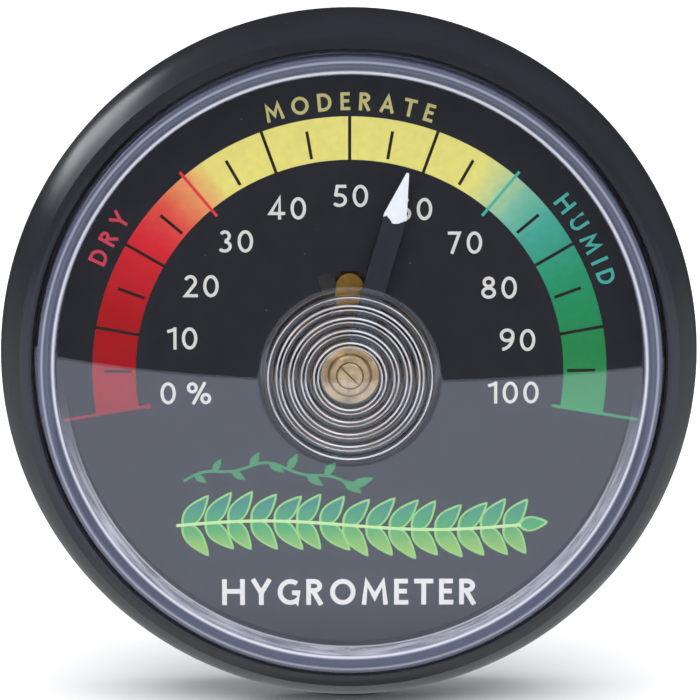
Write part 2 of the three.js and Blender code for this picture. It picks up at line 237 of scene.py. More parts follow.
def signed_area(flat, face):
    """Twice the area, above 0 when the face runs anticlockwise."""
    return sum(flat[a].x * flat[b].y - flat[b].x * flat[a].y for a, b in zip([face[-1], *face], face))


def circle(r, centre=(0, 0), count=160):
    return [clock(r, -FULL_TURN * k / count, centre) for k in range(count)]


def sector(r0, r1, a0, a1, steps):
    """The outline of a sector of a ring round the pivot, between two clock angles."""
    angles = [a0 + (a1 - a0) * k / steps for k in range(steps + 1)]
    return [clock(r0, a, PIVOT) for a in reversed(angles)] + [clock(r1, a, PIVOT) for a in angles]


def bar(a, b, wide):
    """A straight stroke between two points."""
    a, b = Vector(a), Vector(b)
    side = (b - a).orthogonal().normalized() * wide / 2
    return [a - side, b - side, b + side, a + side]


def combine(made, others, operation):
    """Joins some solids to another (UNION), or cuts them out of it (DIFFERENCE)."""
    for other in others:
        step = made.modifiers.new("combine", "BOOLEAN")
        step.object, step.operation, step.solver = other, operation, "EXACT"
    apply_modifiers(made)
    for other in others:
        bpy.data.objects.remove(other)


def apply_modifiers(made):
    bpy.context.view_layer.update()
    evaluated = made.evaluated_get(bpy.context.evaluated_depsgraph_get())
    mesh = bpy.data.meshes.new_from_object(evaluated)
    made.modifiers.clear()
    made.data = mesh
    finish_normals(mesh)


def settle(made, body, slot, material, *nodes):
    """Puts a piece on its body and in its material, in place of any CAD nodes named. slot is not
    used.
    """
    made.data.materials.clear()
    made.data.materials.append(material)
    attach(made, body)
    if nodes:
        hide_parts(*nodes)


# ---- materials ----

def srgb(r, g, b):
    """A colour given as 0 to 255 on a screen, as linear light."""
    def linear(v):
        v /= 255
        return v / 12.92 if v <= 0.04045 else ((v + 0.055) / 1.055) ** 2.4
    return (linear(r), linear(g), linear(b), 1.0)


class Nodes:
    """A node tree in the making: short names for the nodes that the recipes share."""

    def __init__(self, tree, coordinates):
        self.nodes, self.links = tree.nodes, tree.links
        self.place = self.node("TexCoord").outputs[coordinates]

    def feed(self, socket, value):
        """Links a socket to another node's output, or sets it to a plain value. Three numbers are a
        colour for srgb()."""
        if isinstance(value, tuple) and len(value) == 3:
            value = srgb(*value)
        if isinstance(value, bpy.types.NodeSocket):
            self.links.new(value, socket)
        else:
            socket.default_value = value

    def fill(self, node, **inputs):
        """Feeds some inputs of a node, each named with _ for a space."""
        for key, value in inputs.items():
            self.feed(node.inputs[key.replace("_", " ")], value)
        return node

    def node(self, kind, **inputs):
        """A new node, with some of its inputs fed."""
        return self.fill(self.nodes.new("ShaderNode" + kind), **inputs)

    def noise(self, size_mm, detail=4.0, roughness=0.5, vector=None):
        """Noise whose features are about size_mm across, from 0 to 1."""
        node = self.node("TexNoise", Scale=1 / (size_mm * MM), Detail=detail, Roughness=roughness)
        return self.fill(node, Vector=vector or self.place).outputs["Fac"]

    def cells(self, size_mm):
        """The distance to the nearest of some points that lie about size_mm apart."""
        return self.node("TexVoronoi", Scale=1 / (size_mm * MM), Vector=self.place).outputs["Distance"]

    def math(self, operation, a, b=0.0, c=0.0):
        node = self.node("Math")
        node.operation = operation
        for socket, value in zip(node.inputs, (a, b, c)):
            self.feed(socket, value)
        return node.outputs[0]

    def times(self, value, *others):
        """The product of some values."""
        for other in others:
            value = self.math("MULTIPLY", value, other)
        return value

    def most(self, value, *others):
        """The largest of some values."""
        for other in others:
            value = self.math("MAXIMUM", value, other)
        return value

    def span(self, value, low, high, to_low, to_high):
        """Takes a value's range low to high to another range, and holds it there."""
        node = self.node("MapRange", Value=value, From_Min=low, From_Max=high)
        return self.fill(node, To_Min=to_low, To_Max=to_high).outputs[0]

    def ramp(self, value, stops):
        """A colour for each value, from (place, colour) stops."""
        node = self.node("ValToRGB", Fac=value)
        elements = node.color_ramp.elements
        while len(elements) < len(stops):
            elements.new(0.5)
        for element, (place, colour) in zip(elements, stops):
            element.position, element.color = place, srgb(*colour)
        return node.outputs[0]

    def mix(self, amount, a, b):
        """Colour a where amount is 0, and b where it is 1."""
        node = self.node("Mix")
        node.data_type = "RGBA"
        for i, value in ((0, amount), (6, a), (7, b)):
            self.feed(node.inputs[i], value)
        return node.outputs[2]

    def choose(self, amount, a, b):
        """Shader a where amount is 0, and b where it is 1."""
        node = self.node("MixShader")
        for socket, source in zip(node.inputs, (amount, a.outputs[0], b.outputs[0])):
            self.feed(socket, source)
        return node

    def axis(self, letter):
        return self.node("SeparateXYZ", Vector=self.place).outputs[letter]

    def radius(self, centre):
        """The distance in mm from a line through a point of the face, square to the dial."""
        across = self.math("SUBTRACT", self.axis("X"), centre[0] * MM)
        up = self.math("SUBTRACT", self.axis("Z"), centre[1] * MM)
        square = self.math("ADD", self.times(across, across), self.times(up, up))
        return self.math("DIVIDE", self.math("SQRT", square), MM)

    def line(self, value, at, inside, outside, strength):
        """strength where a value is within inside of at, fading to 0 at outside."""
        off = self.math("ABSOLUTE", self.math("SUBTRACT", value, at))
        return self.span(off, inside, outside, strength, 0.0)

    def along_rim(self, out):
        """A place for noise drawn out round the dial: the radius, and 2 mm for each radian."""
        turn = self.math("ARCTAN2", self.axis("X"), self.axis("Z"))
        return self.node("CombineXYZ", X=self.times(out, MM), Y=self.times(turn, 2 * MM)).outputs[0]


class Paint(Nodes):
    """A material in the making, with one Principled shader."""

    def __init__(self, name, **inputs):
        self.material = bpy.data.materials.new(name)
        self.material.use_nodes = True
        super().__init__(self.material.node_tree, "Object")
        self.shader = self.nodes["Principled BSDF"]
        self.set(**inputs)

    def set(self, **inputs):
        self.fill(self.shader, **inputs)

    def colour(self, source):
        self.set(Base_Color=source)

    def uneven_gloss(self, size_mm, low, high):
        """Roughness that drifts from low to high over patches about size_mm across."""
        self.set(Roughness=self.span(self.noise(size_mm, 3), 0.3, 0.7, low, high))

    def bump(self, height, depth_mm):
        """Relief, over any relief that the shader has already."""
        node = self.node("Bump", Distance=depth_mm * MM, Height=height)
        normal = self.shader.inputs["Normal"]
        if normal.links:
            self.feed(node.inputs["Normal"], normal.links[0].from_socket)
        self.feed(normal, node.outputs[0])


def gloss_black():
    """Polished black moulding: smeared, a little dusty, with faint sink marks."""
    p = Paint("gloss_black", IOR=1.5)
    smear = p.noise(9, 3)
    dust = p.math("LESS_THAN", p.cells(1.6), 0.035)
    base = p.mix(smear, (22, 23, 27), (31, 33, 38))
    p.colour(p.mix(dust, base, (96, 99, 104)))
    p.set(Roughness=p.span(smear, 0.3, 0.7, 0.22, 0.34))
    p.bump(p.noise(6, 2), 0.02)
    return p.material


def satin_black():
    """Moulded case with a fine spark-eroded texture."""
    p = Paint("satin_black", IOR=1.5)
    grain = p.noise(0.18, 2)
    p.colour(p.mix(p.noise(6, 4), (26, 27, 30), (38, 39, 43)))
    p.set(Roughness=p.span(grain, 0.3, 0.7, 0.45, 0.62))
    p.bump(grain, 0.012)
    return p.material


RING_FOOT, RING_PITCH, RING_WIDE = 3.3, 1.32, 0.6
RINGS = 5
RIM_FOOT, RIM_CREST, RIM_R = 31.4, 32.5, 33.0
# The second radius is the middle of the band of painted reflection in the lower half of the window.
SHEET_R, REFLECTION_BAND_R = 30.2, 30.75
FACE_Z, SHEET_BACK = 17.2, 15.6


def clear_plastic():
    """Clear cover: a bluish painted reflection in its rim, painted highlight lines along the rim's
    foot and crest and along the walls of its moulded rings, and in the lower half a painted
    reflection in a band inside the rim. Shadow rays pass it, so that the lamps light the dial behind."""
    p = Paint("clear_plastic", IOR=1.5)
    out = p.radius((0.0, 0.0))
    front = p.math("LESS_THAN", p.axis("Y"), -(FACE_Z - 0.4) * MM)

    # Painted reflection: the rim is given a diffuse bluish-grey tone in place of what the clear rim
    # reflects and bends.
    rim = p.times(p.span(out, RIM_FOOT - 0.2, RIM_FOOT, 0.0, 1.0), p.math("LESS_THAN", out, RIM_R + 0.05))
    # Painted highlights: bright lines along the rim's foot and crest, on the front surface only.
    foot, crest = p.line(out, RIM_FOOT, 0.06, 0.24, 0.85), p.line(out, RIM_CREST, 0.05, 0.2, 0.5)
    edges = p.times(front, p.most(foot, crest))

    # Painted reflection: a pale streaky band and a line inside the rim, in the lower half only.
    low = p.times(front, p.span(p.axis("Z"), -16 * MM, -2 * MM, 1.0, 0.0))
    streaks = p.span(p.noise(0.35, 3, vector=p.along_rim(out)), 0.3, 0.7, 0.1, 0.5)
    band = p.times(streaks, p.line(out, REFLECTION_BAND_R, 0.5, 0.7, 1.0))
    painted_reflection = p.times(low, p.most(band, p.line(out, SHEET_R, 0.04, 0.12, 0.45)))

    # Painted highlights: pale lines along the walls of the moulded rings, standing in for their glints.
    rings = p.times(front, ring_lines(p), p.span(p.noise(3, 3), 0.35, 0.62, 0.6, 1.0))

    # Painted reflection: the rim's bluish-grey tone (102, 107, 131).
    tone = p.mix(rim, (0.985, 0.99, 1.0, 1.0), (102, 107, 131))
    # Painted highlights: the rim's foot and crest lines in near-white (232, 234, 248).
    tone = p.mix(edges, tone, (232, 234, 248))
    # Painted reflection: the lower half's pale tone (222, 224, 238).
    tone = p.mix(p.math("GREATER_THAN", painted_reflection, 0.02), tone, (222, 224, 238))
    # Painted highlights: the ring walls' pale tone (226, 226, 238).
    p.colour(p.mix(rings, tone, (226, 226, 238)))
    # How far the painted tones above replace clear plastic; the rest stays clear.
    painted_light_weight = p.most(p.times(rim, 0.5), p.times(edges, 0.9), painted_reflection, p.times(rings, 0.8))
    p.set(Transmission_Weight=p.math("SUBTRACT", 1.0, painted_light_weight), Roughness=p.times(p.most(rim, rings), 0.15))

    through = p.node("BsdfTransparent", Color=(0.92, 0.93, 0.94, 1.0))
    path = p.node("LightPath")
    surface = p.shader
    for ray in ("Is Shadow Ray", "Is Diffuse Ray"):
        surface = p.choose(path.outputs[ray], surface, through)
    p.fill(p.nodes["Material Output"], Surface=surface.outputs[0])
    return p.material


def ring_lines(p):
    """Painted highlight lines: 1 along the inner and outer wall of each moulded ring, fading to 0
    elsewhere.
    """
    out = p.radius(PIVOT)
    turns = p.math("DIVIDE", p.math("SUBTRACT", out, RING_FOOT), RING_PITCH)
    across = p.times(p.math("FRACT", turns), RING_PITCH)
    walls = [p.line(across, at, 0.03, 0.12, 1.0) for at in (0.08, RING_WIDE - 0.08)]
    last = RING_FOOT + RING_PITCH * (RINGS - 1) + 0.3
    inside = p.times(p.math("GREATER_THAN", out, RING_FOOT - 0.1), p.math("LESS_THAN", out, last))
    return p.times(inside, p.most(*walls))


def dial_ground():
    """The dial's charcoal print: a faint mottle and a few specks of dust."""
    p = dull_print("dial_ground", (1.2, 0.45, 0.6))
    specks = p.math("LESS_THAN", p.cells(2.6), 0.026)
    base = p.mix(p.noise(2.2, 5, 0.6), (29, 29, 33), (41, 41, 46))
    p.colour(p.mix(specks, base, (120, 120, 126)))
    return p.material


def dull_print(name, gloss=(0.4, 0.45, 0.6)):
    """Print with hardly any shine; gloss is as for uneven_gloss()."""
    p = Paint(name, IOR=1.45, Specular_IOR_Level=0.06)
    p.uneven_gloss(*gloss)
    return p


def ink(name, colour):
    """Screen-printed ink, a little uneven in tone."""
    p = dull_print(name)
    light = tuple(min(1.0, v * 1.06) for v in srgb(*colour)[:3]) + (1.0,)
    dark = tuple(v * 0.94 for v in srgb(*colour)[:3]) + (1.0,)
    p.colour(p.mix(p.noise(0.8, 4, 0.6), dark, light))
    return p.material


BAND_COLOURS = [  # a reading in per cent, and the band's colour there
    (0, (152, 14, 20)), (12, (170, 18, 22)), (22, (214, 38, 50)), (26, (226, 84, 70)),
    (30, (234, 156, 98)), (33, (236, 222, 122)), (66, (234, 224, 124)), (69, (198, 212, 144)),
    (72, (126, 190, 164)), (76, (72, 166, 148)), (83, (38, 146, 102)), (92, (36, 130, 70)),
    (100, (50, 146, 82)),
]


def band_ink():
    """The zone band's ink: red, yellow and green by the angle round the pivot."""
    p = dull_print("band_ink")
    angle = p.math("ARCTAN2", p.axis("X"), p.math("SUBTRACT", p.axis("Z"), PIVOT_Y * MM))
    along = p.span(angle, radians(scale_angle(0)), radians(scale_angle(100)), 0.0, 1.0)
    wobble = p.math("MULTIPLY_ADD", p.noise(1.5, 3), 0.02, -0.01)
    stops = [(percent / 100, colour) for percent, colour in BAND_COLOURS]
    tone = p.ramp(p.math("ADD", along, wobble), stops)
    p.colour(p.mix(p.span(p.noise(0.7, 4), 0.3, 0.8, 0.0, 0.12), tone, (40, 30, 30)))
    return p.material


def leaf_ink():
    """The ornament's ink: teal at the top, running to yellow-green at the bottom."""
    p = dull_print("leaf_ink", (0.4, 0.4, 0.55))
    level = p.span(p.axis("Z"), LEAF_BOTTOM * MM, LEAF_TOP * MM, 0.0, 1.0)
    uneven = p.math("MULTIPLY_ADD", p.noise(1.2, 3), 0.2, -0.1)
    stops = [(0.0, (150, 190, 80)), (0.45, (60, 160, 92)), (1.0, (32, 122, 120))]
    p.colour(p.ramp(p.math("ADD", level, uneven), stops))
    return p.material


def brass(name, colour, tool_marks=0.0, rough=0.3, slot_painted_shade=0.0):
    """Turned or pressed brass. tool_marks is the depth in mm of rings about the pivot, and the last
    argument the half width in mm of painted shade along a screw slot that runs from the upper left."""
    p = Paint(name, Metallic=1.0)
    tarnish = p.noise(1.4, 5, 0.6)
    dull = tuple(v * 0.72 for v in colour)
    tone = p.mix(p.span(tarnish, 0.35, 0.75, 0.0, 1.0), colour, dull)
    # Painted shade in the recess of the screw slot: a band through the pivot, darkened to (112, 84, 58).
    if slot_painted_shade:
        off = p.math("ADD", p.axis("X"), p.math("SUBTRACT", p.axis("Z"), PIVOT_Y * MM))
        off = p.math("ABSOLUTE", p.times(off, math.sqrt(0.5) / MM))
        tone = p.mix(p.span(off, slot_painted_shade - 0.04, slot_painted_shade + 0.02, 1.0, 0.0), tone, (112, 84, 58))
    p.colour(tone)
    p.set(Roughness=p.span(tarnish, 0.3, 0.7, rough - 0.08, rough + 0.1))
    if tool_marks:
        p.bump(p.math("SINE", p.times(p.radius(PIVOT), 2 * pi / 0.09)), tool_marks)
    p.bump(p.noise(0.15, 3), 0.002)
    return p.material


def two_tone(name, dark, light, patch, gloss, grain, **inputs):
    """A material that drifts from a dark to a light tone over patches of a size in mm. gloss is a
    patch size and the roughness range, and grain is a bump's size and depth, also in mm."""
    p = Paint(name, **inputs)
    p.colour(p.mix(p.noise(patch, 4), dark, light))
    p.uneven_gloss(*gloss)
    p.bump(p.noise(grain[0], 3), grain[1])
    return p.material


def steel():
    return two_tone("steel", (150, 153, 158), (188, 191, 196), 0.7, (0.3, 0.25, 0.42), (0.1, 0.002),
                    Metallic=1.0)


def blackened():
    """Steel plate with a black finish, given a light grey tone as painted light, so that the shaded
    inside seen through the dial's holes reads lighter.
    """
    return two_tone("blackened_steel", (146, 140, 139), (178, 171, 168), 1.1, (0.3, 0.45, 0.6),
                    (0.25, 0.002), Metallic=0.2, Specular_IOR_Level=0.3)


def coil_strip():
    """Rolled brass strip under a brown moisture-sensitive lacquer."""
    return two_tone("coil_strip", (66, 51, 42), (122, 93, 60), 0.9, (0.3, 0.35, 0.5), (0.2, 0.003),
                    Metallic=0.5, Coat_Weight=0.3, Coat_Roughness=0.35)


def black_paint():
    """Black enamel on the pointer's strip."""
    return two_tone("black_paint", (28, 30, 34), (42, 45, 52), 0.9, (0.5, 0.3, 0.45), (0.3, 0.004),
                    IOR=1.5, Specular_IOR_Level=0.15)


def white_paint():
    """White paint that the pointer's tip was dipped in."""
    return two_tone("white_paint", (226, 229, 236), (246, 247, 250), 0.7, (0.4, 0.35, 0.5), (0.5, 0.01),
                    IOR=1.5, Specular_IOR_Level=0.2)


def nylon():
    p = Paint("nylon", IOR=1.53, Subsurface_Weight=0.2)
    p.colour(p.mix(p.noise(0.8, 3), (226, 221, 207), (240, 237, 226)))
    p.uneven_gloss(0.3, 0.4, 0.55)
    return p.material


def foam():
    """Closed-cell foam tape."""
    p = Paint("foam", Roughness=0.9, Subsurface_Weight=0.1)
    cell = p.cells(0.35)
    p.colour(p.mix(p.span(cell, 0.1, 0.6, 0.0, 1.0), (214, 211, 200), (240, 238, 230)))
    p.bump(cell, 0.05)
    return p.material


# ---- case, bezel and pad ----

FLOOR_FRONT, SHOULDER_Z = 2.7, 7.9
BOSS_RING, BOSS_R, BOSS_HOLE_R = 11.2, 2.3, 0.95
VENT_IN, VENT_OUT, VENT_HALF = 23.8, 28.8, 12
LUG_TURNS = (45, 135, 225, 315)
LUG, POCKET = (5, 34.4, 35.95, 9.9, 10.7), (5.6, 34.5, 36.25, 9.6, 11.0)  # width, radii, levels


def radial_block(name, wide, r0, r1, z0, z1, degrees, centre=(0, 0)):
    """A block standing on a clock angle, from one radius to another."""
    a = radians(degrees)
    corners = []
    for r, side in ((r0, 1), (r1, 1), (r1, -1), (r0, -1)):
        x, y = clock(r, degrees, centre)
        corners.append((x + side * wide / 2 * cos(a), y - side * wide / 2 * sin(a)))
    return slab(name, [corners], z0, z1)


def arc_slot(r0, r1, half, middle, fillet=0.7):
    """The outline of a slot along an arc, with rounded corners, taken clockwise."""
    corners = ((r1, r1 - fillet, -1), (r1, r1 - fillet, 1), (r0, r0 + fillet, 1), (r0, r0 + fillet, -1))
    outline = []
    for i, (r, centre_r, side) in enumerate(corners):
        reach = side * (half - math.degrees(fillet / r))
        centre = clock(centre_r, middle + reach)
        outline += [clock(fillet, middle + 90 * (i - 1 + k / 4), centre) for k in range(5)]
        if i in (0, 2):
            outline += [clock(r, middle + reach * (1 - k / 6)) for k in range(1, 12)]
    return outline


def build_case():
    """A cup with lugs for the bezel, bosses for the screws and four vents."""
    section = [
        (0, CASE_REAR, 0), (32.0, CASE_REAR, 0.5), (32.9, CASE_REAR + 0.7, 0.5),
        (36.6, SHOULDER_Z - 0.6, 0.4), (37.0, SHOULDER_Z, 0.15), (35.2, SHOULDER_Z, 0),
        (35.2, CASE_TOP, 0.15), (32.6, CASE_TOP, 0.15), (32.6, SHOULDER_Z, 0.4),
        (30.8, FLOOR_FRONT + 0.8, 0.6), (30.0, FLOOR_FRONT, 0.4), (0, FLOOR_FRONT, 0),
    ]
    shell = turned("rear_shell", section, segments=192)
    extra = [radial_block("lug", *LUG, turn) for turn in LUG_TURNS]
    screw_places = [clock(BOSS_RING, angle, PIVOT) for angle in (60, 180, 300)]
    boss = [(0, 2.3, 0), (BOSS_R, 2.3, 0), (BOSS_R, 3.6, 0.15), (0, 3.6, 0)]
    extra += [turned("boss", boss, at, 32) for at in screw_places]
    combine(shell, extra, "UNION")
    cuts = [slab("vent", [arc_slot(VENT_IN, VENT_OUT, VENT_HALF, 90 * i)], 0, 4) for i in range(4)]
    cuts += [slab("hole", [circle(BOSS_HOLE_R, at, 24)], 1.8, 5) for at in screw_places]
    combine(shell, cuts, "DIFFERENCE")
    settle(shell, "case", "case_black", satin_black(), "rear_case")


LIP_R, LIP_CORNER_R, SLOPE_TOP_R = 33.65, 34.15, 35.0
RING_IN_R, LEDGE_Z, EDGE_Z, SWELL = 35.5, 14.3, 9.0, 0.45


def build_bezel():
    """A ring with a slope that swells a little between the case's widest edge and the lip."""
    slope = []
    count = 16
    for k in range(count + 1):
        t = k / count
        r = CASE_R - (CASE_R - SLOPE_TOP_R) * t + SWELL * sin(pi * t)
        slope.append((r, EDGE_Z + (BEZEL_TOP - 0.35 - EDGE_Z) * t, 0 if k else 0.3))
    section = [
        (RING_IN_R, BEZEL_REAR, 0.1), (CASE_R - 0.15, BEZEL_REAR, 0.15), *slope,
        (LIP_CORNER_R, BEZEL_TOP, 0.25), (LIP_R, BEZEL_TOP, 0.15), (LIP_R, LEDGE_Z, 0.1),
        (RING_IN_R, LEDGE_Z, 0),
    ]
    ring = turned("snap_bezel", section, segments=256)
    pockets = [radial_block("pocket", *POCKET, turn) for turn in LUG_TURNS]
    combine(ring, pockets, "DIFFERENCE")
    settle(ring, "case", "bezel_black", gloss_black(), "bezel_ring")


def build_pad():
    waist = PAD_R - 0.08
    section = [(0, 0, 0), (PAD_R, 0, 0.12), (waist, PAD_FRONT / 2, 0.2)]
    section += [(PAD_R, PAD_FRONT, 0.12), (0, PAD_FRONT, 0)]
    settle(turned("foam_pad", section), "case", "pad_foam", foam(), "adhesive_pad")


# ---- window ----

SKIRT_IN_R, SKIRT_R, SKIRT_TOP = 33.5, 35.0, 14.0
RING_HIGH, RING_ROUND = 0.16, 0.27


def build_window():
    """The sheet, the skirt and the rim stand round the case's middle, and the rings round the pivot."""
    section = [
        (SHEET_R, SHEET_BACK, 0), (RIM_FOOT, SHEET_BACK, 0.35), (RIM_FOOT, DIAL_FRONT + 0.3, 0.1),
        (SKIRT_IN_R, DIAL_FRONT + 0.3, 0.1), (SKIRT_IN_R, DIAL_BACK, 0.1), (SKIRT_R, DIAL_BACK, 0.15),
        (SKIRT_R, SKIRT_TOP, 0.15), (RIM_R, SKIRT_TOP, 0.2), (RIM_R, CREST - 0.3, 0.4),
        (32.6, CREST, 0.3), (32.0, CREST, 0.3), (RIM_FOOT, FACE_Z, 0.4), (SHEET_R, FACE_Z, 0),
    ]
    loops = [(PIVOT, 0, SHEET_BACK), (PIVOT, 11.4, SHEET_BACK)]
    loops += [((0, 0), r, z) for r, z in rounded(section, steps=8)]
    loops.append((PIVOT, RING_FOOT + RING_PITCH * RINGS, FACE_Z))
    for i in reversed(range(RINGS)):
        start = RING_FOOT + RING_PITCH * i
        wide = RING_WIDE if i < RINGS - 1 else RING_WIDE / 2
        for k in range(25):
            t = 1 - k / 24
            loops.append((PIVOT, start + wide * t, FACE_Z + ring_height(t)))
    loops += [(PIVOT, RING_FOOT - 0.25, FACE_Z), (PIVOT, 0, FACE_Z)]
    cover = skinned("clear_window", loops, False, 512, 60)
    settle(cover, "case", "window_clear", clear_plastic(), "window")


def ring_height(t):
    """The height across one moulded ring, from its foot at 0 to its foot at 1: a flat top between
    rounded walls."""
    edge = min(t, 1 - t) / RING_ROUND
    return RING_HIGH * (1 - cos(pi * min(edge, 1))) / 2


# ---- dial and its print ----

HOLE_R, NOTCH_R, NOTCH_HALF = 9.15, 10.9, 19
BAND_IN, BAND_OUT = 22.8, 27.4
TICK_WIDE, LINE_WIDE = 0.33, 0.3


def build_dial():
    notch = sector(HOLE_R - 1, NOTCH_R, -NOTCH_HALF, NOTCH_HALF, 20)[::-1]
    holes = [circle(HOLE_R, PIVOT, 120), notch]
    dial = slab("dial", [circle(DIAL_R, count=192)], DIAL_BACK, DIAL_FRONT, holes)
    settle(dial, "case", "dial_print", dial_ground(), "dial_plate")


def printed(name, outlines, material, layer=0):
    """A film of ink on the dial; a higher layer lies over a lower one."""
    film = slab(name, outlines, DIAL_FRONT - 0.02, DIAL_FRONT + 0.02 + 0.012 * layer)
    settle(film, "case", "dial_print", material)


def arc(cx, cy, rx, ry, a0, a1):
    """Points along an ellipse, with angles anticlockwise from the right."""
    count = max(3, round(abs(a1 - a0) / 10))
    turns = [radians(a0 + (a1 - a0) * k / count) for k in range(count + 1)]
    return [(cx + rx * cos(t), cy + ry * sin(t)) for t in turns]


def loop(cx, cy, rx, ry):
    return arc(cx, cy, rx, ry, 0, FULL_TURN)


def glyph(letter, w):
    """A letter's width and the middle lines of its strokes, for a height of 1 and a stroke w."""
    h = w / 2
    top, mid = 1 - h, 0.5
    stem = [(h, 0), (h, 1)]
    six = [loop(0.33, 0.25 + h / 2, 0.33 - h, 0.31 - h), arc(0.62, 0.33, 0.62 - h, 0.67 - h, 180, 98)]
    shapes = {
        "0": (0.69, [loop(0.345, mid, 0.345 - h, mid - h)]),
        "1": (0.43, [[(0.43 - h, 0), (0.43 - h, 1)], [(0.02, 0.80), (0.43 - h, top - 0.02)]]),
        "2": (0.62, [arc(0.29, 0.70, 0.29 - h, 0.30 - h, 160, -32) + [(h, h), (0.62, h)]]),
        "3": (0.58, [arc(0.26, 0.735, 0.26 - h, 0.265 - h, 150, -90),
            arc(0.24, 0.28, 0.32 - h, 0.28 - h, 90, -145)]),
        "4": (0.74, [[(0.56 - h, 0), (0.56 - h, 0.97), (h, 0.27), (0.74, 0.27)]]),
        "5": (0.60, [[(0.56, top), (0.09 + h, top), (0.09, 0.55)]
            + arc(0.25, 0.31, 0.34 - h, 0.31 - h, 112, -145)]),
        "6": (0.66, six),
        "7": (0.60, [[(0, top), (0.58 - h, top), (0.18, 0)]]),
        "8": (0.66, [loop(0.33, 0.745, 0.275 - h, 0.255 - h), loop(0.33, 0.275, 0.33 - h, 0.275 - h)]),
        "9": (0.66, [[(0.66 - x, 1 - y) for x, y in line] for line in six]),
        "%": (1.12, [loop(0.26, 0.745, 0.245 - h, 0.255 - h), loop(0.86, 0.255, 0.245 - h, 0.255 - h),
            [(0.83, 1), (0.29, 0)]]),
        "A": (0.80, [[(h * 0.8, 0), (0.40, 1 - h), (0.80 - h * 0.8, 0)], [(0.17, 0.32), (0.63, 0.32)]]),
        "D": (0.78, [stem, [(h, top), (0.3, top)] + arc(0.31, mid, 0.47 - h, mid - h, 90, -90) + [(h, h)]]),
        "E": (0.54, [stem, [(h, top), (0.52, top)], [(h, 0.52), (0.48, 0.52)], [(h, h), (0.54, h)]]),
        "G": (0.86, [arc(0.48, mid, 0.48 - h, mid - h, 52, 318)
            + [(0.86 - h, 0.12), (0.86 - h, 0.47), (0.54, 0.47)]]),
        "H": (0.86, [stem, [(0.86 - h, 0), (0.86 - h, 1)], [(h, 0.53), (0.86 - h, 0.53)]]),
        "I": (w, [stem]),
        "M": (1.02, [[(h * 1.1, 0), (0.15 + h / 2, 0.97 - h), (0.51, 0.30), (0.87 - h / 2, 0.97 - h),
            (1.02 - h * 1.1, 0)]]),
        "O": (0.96, [loop(0.48, mid, 0.48 - h, mid - h)]),
        "R": (0.68, [stem, [(h, top), (0.27, top)] + arc(0.28, 0.73, 0.32 - h, 0.27 - h, 90, -90)
            + [(h, 0.46 + h)], [(0.28, 0.50), (0.66 - h, 0)]]),
        "T": (0.72, [[(0, top), (0.72, top)], [(0.36, 0), (0.36, top)]]),
        "U": (0.76, [[(h, 1), (h, 0.36)] + arc(0.38, 0.38, 0.38 - h, 0.38 - h, 180, FULL_TURN)
            + [(0.76 - h, 1)]]),
        "Y": (0.80, [[(h * 0.9, 1), (0.40, 0.46), (0.80 - h * 0.9, 1)], [(0.40, 0.46), (0.40, 0)]]),
        " ": (0.0, []),
    }
    return shapes[letter]


def stroke_quads(line, w):
    """Quads along a line of points, as wide as the stroke and mitred where they meet."""
    points = [Vector(p) for p in line]
    ringed = (points[0] - points[-1]).length < 1e-6
    if ringed:
        points.pop()
    count = len(points)
    sides = []
    for i, point in enumerate(points):
        back = points[i - 1] if i or ringed else None
        ahead = points[(i + 1) % count] if i < count - 1 or ringed else None
        before = (point - back).normalized() if back else (ahead - point).normalized()
        after = (ahead - point).normalized() if ahead else before
        across = Vector((-(before + after).y, (before + after).x)).normalized()
        plain = Vector((-before.y, before.x))
        reach = min(w / 2 / max(across.dot(plain), 0.2), w * 1.1)
        sides.append((point + across * reach, point - across * reach))
    pairs = zip(sides, sides[1:] + sides[:1] if ringed else sides[1:])
    return [[a[1], b[1], b[0], a[0]] for a, b in pairs]


def letters(text, cap, w, tracking, place):
    """Outlines of a line of text. place takes a point (along, up), from the line's middle and foot."""
    widths = [glyph(c, w)[0] for c in text]
    along = -(sum(widths) + tracking * (len(text) - 1)) / 2
    outlines = []
    for c, width in zip(text, widths):
        middle = along + width / 2
        for line in glyph(c, w)[1]:
            for quad in stroke_quads(line, w):
                outlines.append([place((p.x - width / 2) * cap, p.y * cap, middle * cap) for p in quad])
        along += width + tracking
    return outlines


def straight(text, cap, w, tracking, centre):
    """Text set straight about a centre."""
    return letters(text, cap, w, tracking,
                   lambda x, up, middle: (centre[0] + middle + x, centre[1] + up - cap / 2))


def curved(text, cap, w, tracking, r, degrees):
    """Text set round the pivot, its letters upright on a radius."""
    def place(x, up, middle):
        turn = radians(degrees) + middle / r
        reach = r - cap / 2 + up
        return (reach * sin(turn) + x * cos(turn),
                PIVOT_Y + reach * cos(turn) - x * sin(turn))
    return letters(text, cap, w, tracking, place)


NUMERAL_CAP, NUMERAL_STROKE, NUMERAL_GAP = 2.38, 0.14, 0.24
ZONE_CAP, ZONE_STROKE = 1.9, 0.18


def numeral_place(percent):
    """The middle of a figure inside the band. The first and last stand a little further in."""
    angle = scale_angle(percent)
    if percent in (0, 100):
        return clock(17.6, angle * 0.977, PIVOT)
    r = 18.2 + 0.75 * max(0, cos(radians(angle))) ** 3
    return clock(r, angle + 0.4 + 1.15 * sin(radians(3 * angle)), PIVOT)


